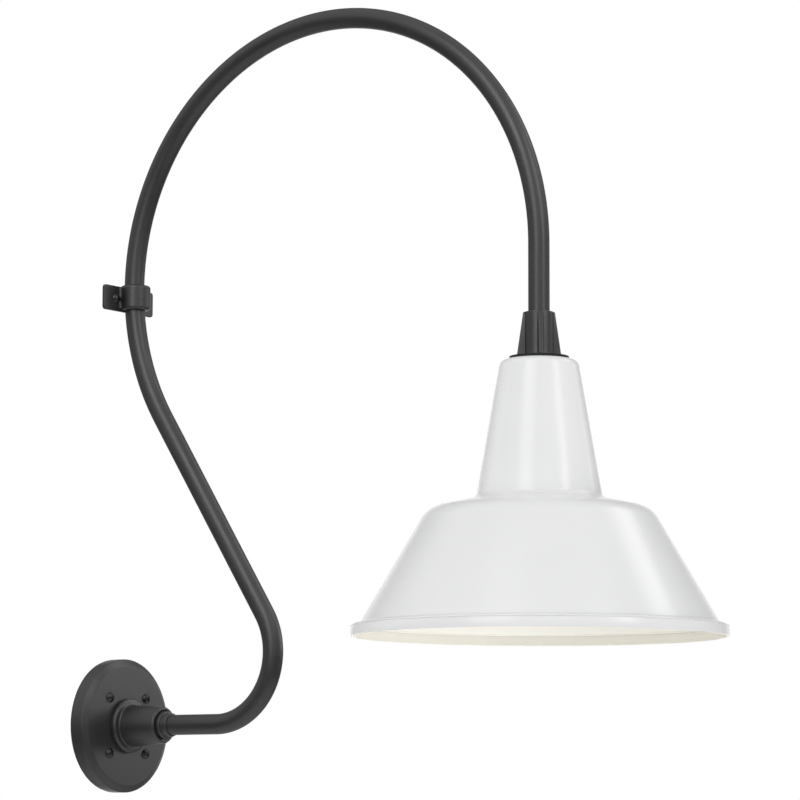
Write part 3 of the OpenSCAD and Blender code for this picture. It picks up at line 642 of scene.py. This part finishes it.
def threaded(name, node, centre, rows, thread, depth, material, body, around=120):
    """A thin shell round +Z with a rolled thread.

    The thread stands depth proud of the rows between the two heights in thread, and dies out at both ends.
    """
    fade_rate = 1.6  # share of its depth that the thread gains in one pitch
    verts, faces = [], []
    count = len(rows)
    for side in (0, 2):
        for k in range(around):
            turn = k / around
            for row in rows:
                h = row[1]
                fade = max(0, min(1, (h - thread[0]) / LAMP_PITCH * fade_rate,
                                  (thread[1] - h) / LAMP_PITCH * fade_rate))
                wave = 0.5 - 0.5 * math.cos(TAU * (h / LAMP_PITCH - turn))
                radius = row[side] + depth * wave * fade
                verts.append(centre + Vector((radius * math.cos(TAU * turn), radius * math.sin(TAU * turn),
                                              row[side + 1])))
    outer = around * count
    for k in range(around):
        a, b = k * count, (k + 1) % around * count
        for i in range(count - 1):
            faces.append((a + i, b + i, b + i + 1, a + i + 1))
            faces.append((outer + a + i + 1, outer + b + i + 1, outer + b + i, outer + a + i))
        for i in (0, count - 1):
            faces.append((a + i, b + i, outer + b + i, outer + a + i))
    piece = new_piece(name, verts, faces, material, body)
    sharpen(piece, angle=50)
    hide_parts(node)


def cast(name, node, voxel, passes, material):
    """A copy of a CAD node with the soft edges and hollow corners of a casting."""
    piece = bpy.data.objects.new(name, NODES[node].data.copy())
    bpy.context.scene.collection.objects.link(piece)
    piece.matrix_world = NODES[node].matrix_world
    piece.data.materials.clear()
    piece.data.materials.append(material)
    join = piece.modifiers.new("join", "WELD")
    join.merge_threshold = 0.000002
    skin = piece.modifiers.new("skin", "REMESH")
    skin.mode, skin.voxel_size, skin.adaptivity = "VOXEL", voxel, 0
    soft = piece.modifiers.new("soft", "SMOOTH")
    soft.factor, soft.iterations = 0.5, passes
    settle(piece)
    shade_smooth(piece)
    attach(piece, "light")
    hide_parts(node)


def facing_x(x, y, z):
    """Carries local +Z to +X, out of the wall."""
    return Matrix(((0, 0, 1, x), (1, 0, 0, y), (0, 1, 0, z), (0, 0, 0, 1)))


def bore(place, radius, low, high):
    """Round cutter along a place's +Z, from low to high."""
    return prism(place, [round_ring(radius, low), round_ring(radius, high)])


def make_plate(material):
    """The round wall plate, hollow behind, with four screw holes."""
    screw_hole_r = 2.4 * MM
    outline = path_of((16.8, 21, 0), (68, 21, 1.6), (75.5, 16.7, 1.2), (75.5, 1.5, 0.5), (72, 1.5, 0.4),
                      (72, 14.95, 1.0), (66.25, 17.5, 1.0), (16.8, 17.5, 0))
    piece = turned("plate_casting", outline, Vector((0, 0, 0)), material, "wall_plate", axis="x", segments=192)
    cut(piece, *[bore(facing_x(0, y, z), screw_hole_r, 0, 0.03) for y, z in SCREW_PLACES])


def make_hub(material):
    """The hub on the plate, with its set screw's hole below, and the collar at its mouth."""
    set_screw_x, set_screw_hole_r = 0.046, 3.05 * MM
    outline = path_of((7.5, 10.5, 0), (16.5, 10.5, 0.5), (16.5, 21, 0.1), (30.75, 21, 0.5), (30.75, 27.5, 3.2),
                      (23.5, 27.5, 1.6), (20.5, 76, 2.6), (16.9, 74.2, 0.6), (16.9, 72, 0.3), (11.5, 72, 0.2),
                      (11.5, 32, 0.2), (7.5, 32, 0))
    hub = turned("hub_casting", outline, Vector((0, 0, 0)), material, "hub", axis="x")
    down = Matrix(((1, 0, 0, set_screw_x), (0, -1, 0, 0), (0, 0, -1, 0), (0, 0, 0, 1)))
    cut(hub, bore(down, set_screw_hole_r, 0.009, 0.04))
    ring = path_of((11.5, 72, 0), (15.7, 72, 0.2), (15.7, 79.2, 1.5), (13.3, 79.2, 0.5), (13.3, 86.4, 1.3),
                   (11.5, 86.4, 0))
    collar = turned("collar_ring", ring, Vector((0, 0, 0)), material, "arm_collar", axis="x")


def make_screws(material):
    """The four face screws of the plate and the two that hold the clamp."""
    machine_screws("face_screw", "plate_screws", [facing_x(PLATE_FACE_X, y, z) for y, z in SCREW_PLACES],
                   head_d=12 * MM, head_h=4.2 * MM, thread_d=4.2 * MM, length=20.5 * MM,
                   material=material, turns=(0.1, 0.02, 0.05, 0.12))
    machine_screws("clamp_screw", "clamp_screws",
                   [facing_x(CLAMP_X, side * CLAMP_Y, CLAMP_Z) for side in (-1, 1)],
                   head_d=12 * MM, head_h=4.2 * MM, thread_d=4.8 * MM, length=8 * MM,
                   material=material, turns=(0.5, 1.3))


def make_threads(plated, plain):
    """The bulb's screw base and the socket's shell, wide enough for the base to slide straight out."""
    threaded("base_shell", "bulb_base", Vector((SHADE_X, 0, BULB_BASE_Z)),
             shell_rows(root_r=12.35 * MM, height=24 * MM, wall=0.35 * MM, hole=7.5 * MM, rounding=1.4 * MM),
             thread=(0.0008, 0.0222), depth=0.65 * MM, material=plated, body="bulb")
    threaded("screw_shell", "socket_shell", Vector((SHADE_X, 0, SCREW_SHELL_Z)),
             shell_rows(root_r=13.72 * MM, height=29 * MM, wall=0.4 * MM, hole=5 * MM, rounding=1.4 * MM),
             thread=(0.0012, 0.0272), depth=0.48 * MM, material=plain, body="light")


def star(z, core_r, nose_r, half, draft, fillet, round_r):
    """Outline of the holder at height z: a round core with four drafted ribs, soft at nose and root."""
    clear = 0.12  # angle between a rib's foot and the round of the core
    foot = half + draft
    root = math.sqrt(core_r ** 2 - foot ** 2)
    start = math.asin(foot / core_r) + clear
    found = []
    for k in range(4):
        base = math.radians(HOLDER_TURN + 90 * k)
        before = Vector((core_r * math.cos(start), -core_r * math.sin(start)))
        path = [before, Vector((root, -foot)), Vector((nose_r, -half)), Vector((nose_r, half)),
                Vector((root, foot)), Vector((before.x, -before.y))]
        outline = []
        for i, r in ((1, fillet), (2, round_r), (3, round_r), (4, fillet)):
            outline += corner(path[i - 1], path[i], path[i + 1], r, 5)
        span = math.pi / 2 - 2 * start
        for i in range(10):
            a = start + span * i / 9
            outline.append(Vector((core_r * math.cos(a), core_r * math.sin(a))))
        c, d = math.cos(base), math.sin(base)
        found += [(c * q.x - d * q.y, d * q.x + c * q.y, z) for q in outline]
    return found


def make_holder(material):
    """Cast holder: a thin foot and a ribbed core that the arm stands in."""
    tall, foot_t, core_r, flare, top_r = 47.6 * MM, 1.2 * MM, 15.4 * MM, 0.9 * MM, 1 * MM
    nose_low, nose_taper = 23.5, 6.6
    place = Matrix.Translation((SHADE_X, 0, HOLDER_Z))
    rings = []

    def level(z, grow, shrink=0.0):
        part = max(0.0, min(1.0, (z - foot_t) / (tall - foot_t - top_r)))
        nose = (nose_low - nose_taper * part) * MM + grow - shrink
        stand = nose - core_r - grow
        rings.append(star(z, core_r=core_r + grow - 0.3 * shrink, nose_r=nose,
                          half=2.3 * MM + grow - 0.4 * shrink, draft=0.7 * MM,
                          fillet=min(1.1 * MM, 0.3 * stand), round_r=min(1.3 * MM, 0.45 * stand)))

    level(0.5 * foot_t, flare)
    for i in range(6):
        t = math.pi / 2 * i / 5
        level(foot_t + flare * (1 - math.cos(t)), flare * (1 - math.sin(t)))
    for i in range(1, 7):
        level(foot_t + flare + (tall - foot_t - flare - top_r) * i / 6, 0)
    for i in range(1, 5):
        t = math.pi / 2 * i / 4
        level(tall - top_r + top_r * math.sin(t), 0, top_r * (1 - math.cos(t)))
    arm_bore, wire_bore, arm_end = 11.45 * MM, 5.05 * MM, tall - 30 * MM
    for r, z in ((arm_bore, tall), (arm_bore, arm_end), (wire_bore, arm_end), (wire_bore, 0.5 * foot_t)):
        rings.append([(r * x / math.hypot(x, y), r * y / math.hypot(x, y), z) for x, y, _ in rings[0]])
    count = len(rings[0])
    verts = [place @ Vector(q) for ring in rings for q in ring]
    faces = []
    for i in range(len(rings)):
        j = (i + 1) % len(rings)
        for k in range(count):
            m = (k + 1) % count
            faces.append((i * count + k, i * count + m, j * count + m, j * count + k))
    piece = new_piece("holder_core", verts, faces, material, "light")
    sharpen(piece, SHARP)
    bearing = math.radians(HOLDER_TURN + 225)
    out = Vector((math.cos(bearing), math.sin(bearing), 0))
    screw_z, screw_hole_r = HOLDER_Z + tall - 11 * MM, 2.55 * MM
    across = Matrix(((-out.y, 0, out.x, SHADE_X), (out.x, 0, out.y, 0), (0, 1, 0, screw_z), (0, 0, 0, 1)))
    cut(piece, bore(across, screw_hole_r, 0.006, 0.03))
    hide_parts("shade_holder")
    foot = turned("holder_foot", path_of((5.05, 0, 0), (24.7, 0, 0.2), (24.7, 1.2, 0.35), (5.05, 1.2, 0)),
                  Vector((SHADE_X, 0, HOLDER_Z)), material, "shade_holder")


make_camera()
bpy.context.scene.view_settings.view_transform = "Standard"
make_world(ambient=0.42, low=0.22, high=0.80, beyond=0.30)
make_floor(height=-1.2, half=1.6)
# each softbox: turn and rise in degrees, distance, size, glow
softbox("lamp_left", -27, 41, 2.6, (1.2, 1.2), 3.0)
softbox("lamp_right", 48, 38, 2.6, (0.8, 0.95), 3.2)
softbox("lamp_left_low", -27, 12, 2.6, (1.1, 1.3), 2.2)
softbox("lamp_right_low", 50, 13, 2.6, (0.6, 1.2), 3.0)
softbox("lamp_front", 10, 9, 2.6, (0.7, 1.2), 0.8)
softbox("lamp_left_far", -110, 10, 2.2, (1.0, 1.0), 4.5, mirrored=False)
softbox("lamp_under", -10, -20, 2.2, (1.2, 0.6), 2.4, mirrored=False)
softbox("lamp_right_far", 85, -25, 2.2, (1.0, 1.0), 3.2, mirrored=False)
softbox("lamp_high", 111, 44, 2.6, (1.3, 0.8), 0.09, target=(SHADE_X, 0, 0.20), cone=34)
softbox("lamp_side", 110, 14, 1.6, (0.7, 0.8), 0.12, target=(0.02, 0, 0), cone=32)
softbox("lamp_low", 0, -90, 0.9, (0.9, 0.9), 1.15, target=(SHADE_X, 0, RIM_Z), mirrored=False)

powder = coated("powder_coat", (0.011, 0.011, 0.0113), (0.016, 0.016, 0.0163), (0.34, 0.46),
                depth=0.00004, level=0.74)
screw = coated("screw_finish", (0.007, 0.007, 0.0073), (0.012, 0.012, 0.0124), (0.13, 0.22),
               depth=0.00001, peel=900, grain=2600)
white_out = enamel("enamel_outside", (0.795, 0.798, 0.802), (0.815, 0.817, 0.820), (0.18, 0.25))
white_in = enamel("enamel_inside", (0.925, 0.90, 0.83), (0.94, 0.915, 0.85), (0.20, 0.27))
zinc = metal("zinc_plate", (0.52, 0.53, 0.55), (0.64, 0.65, 0.66), (0.28, 0.42))
brass = metal("brass_plain", (0.62, 0.43, 0.17), (0.74, 0.54, 0.24), (0.20, 0.34))
nickel = metal("nickel_plate", (0.60, 0.585, 0.55), (0.69, 0.68, 0.65), (0.14, 0.26))
by_slot = {
    "powder_black": powder,
    "screw_black": screw,
    "enamel_white": white_out,
    "foam_black": foam("foam_cells"),
    "rubber_black": coated("rubber_matte", (0.010, 0.010, 0.010), (0.018, 0.018, 0.018), (0.62, 0.78),
                           depth=0.00003, peel=700, grain=2200, level=0.3),
    "zinc_steel": zinc,
    "green_screw": coated("green_plate", (0.012, 0.16, 0.05), (0.02, 0.22, 0.075), (0.25, 0.36),
                          depth=0.00001, peel=900, grain=2600),
    "porcelain": coated("porcelain_glaze", (0.80, 0.78, 0.72), (0.845, 0.83, 0.775), (0.08, 0.16),
                        depth=0.00002, peel=300, grain=900, coat=0.4),
    "brass": brass,
    "nickel": nickel,
    "bulb_plastic": coated("bulb_plastic_satin", (0.80, 0.80, 0.79), (0.83, 0.83, 0.82), (0.30, 0.40),
                           depth=0.00001, peel=500, grain=1900),
    "opal_plastic": opal("opal_frost"),
    "board_white": coated("solder_mask", (0.78, 0.78, 0.76), (0.84, 0.84, 0.82), (0.30, 0.42),
                          depth=0.00001, peel=700, grain=2000),
    "bulb_glass_black": coated("black_glass", (0.012, 0.012, 0.014), (0.02, 0.02, 0.023), (0.06, 0.14),
                               depth=0.00001, peel=600, grain=1800),
}
for part in frame["record"]["subparts"]:
    node = NODES[part["node"]]
    node.data.materials.clear()
    node.data.materials.append(by_slot[part["material_slot"]])

make_arm(powder)
make_shade(white_out, white_in)
make_plate(powder)
make_hub(powder)
make_screws(screw)
make_threads(nickel, brass)
cast("strap_casting", "clamp_strap", voxel=0.0004, passes=6, material=powder)
make_holder(powder)
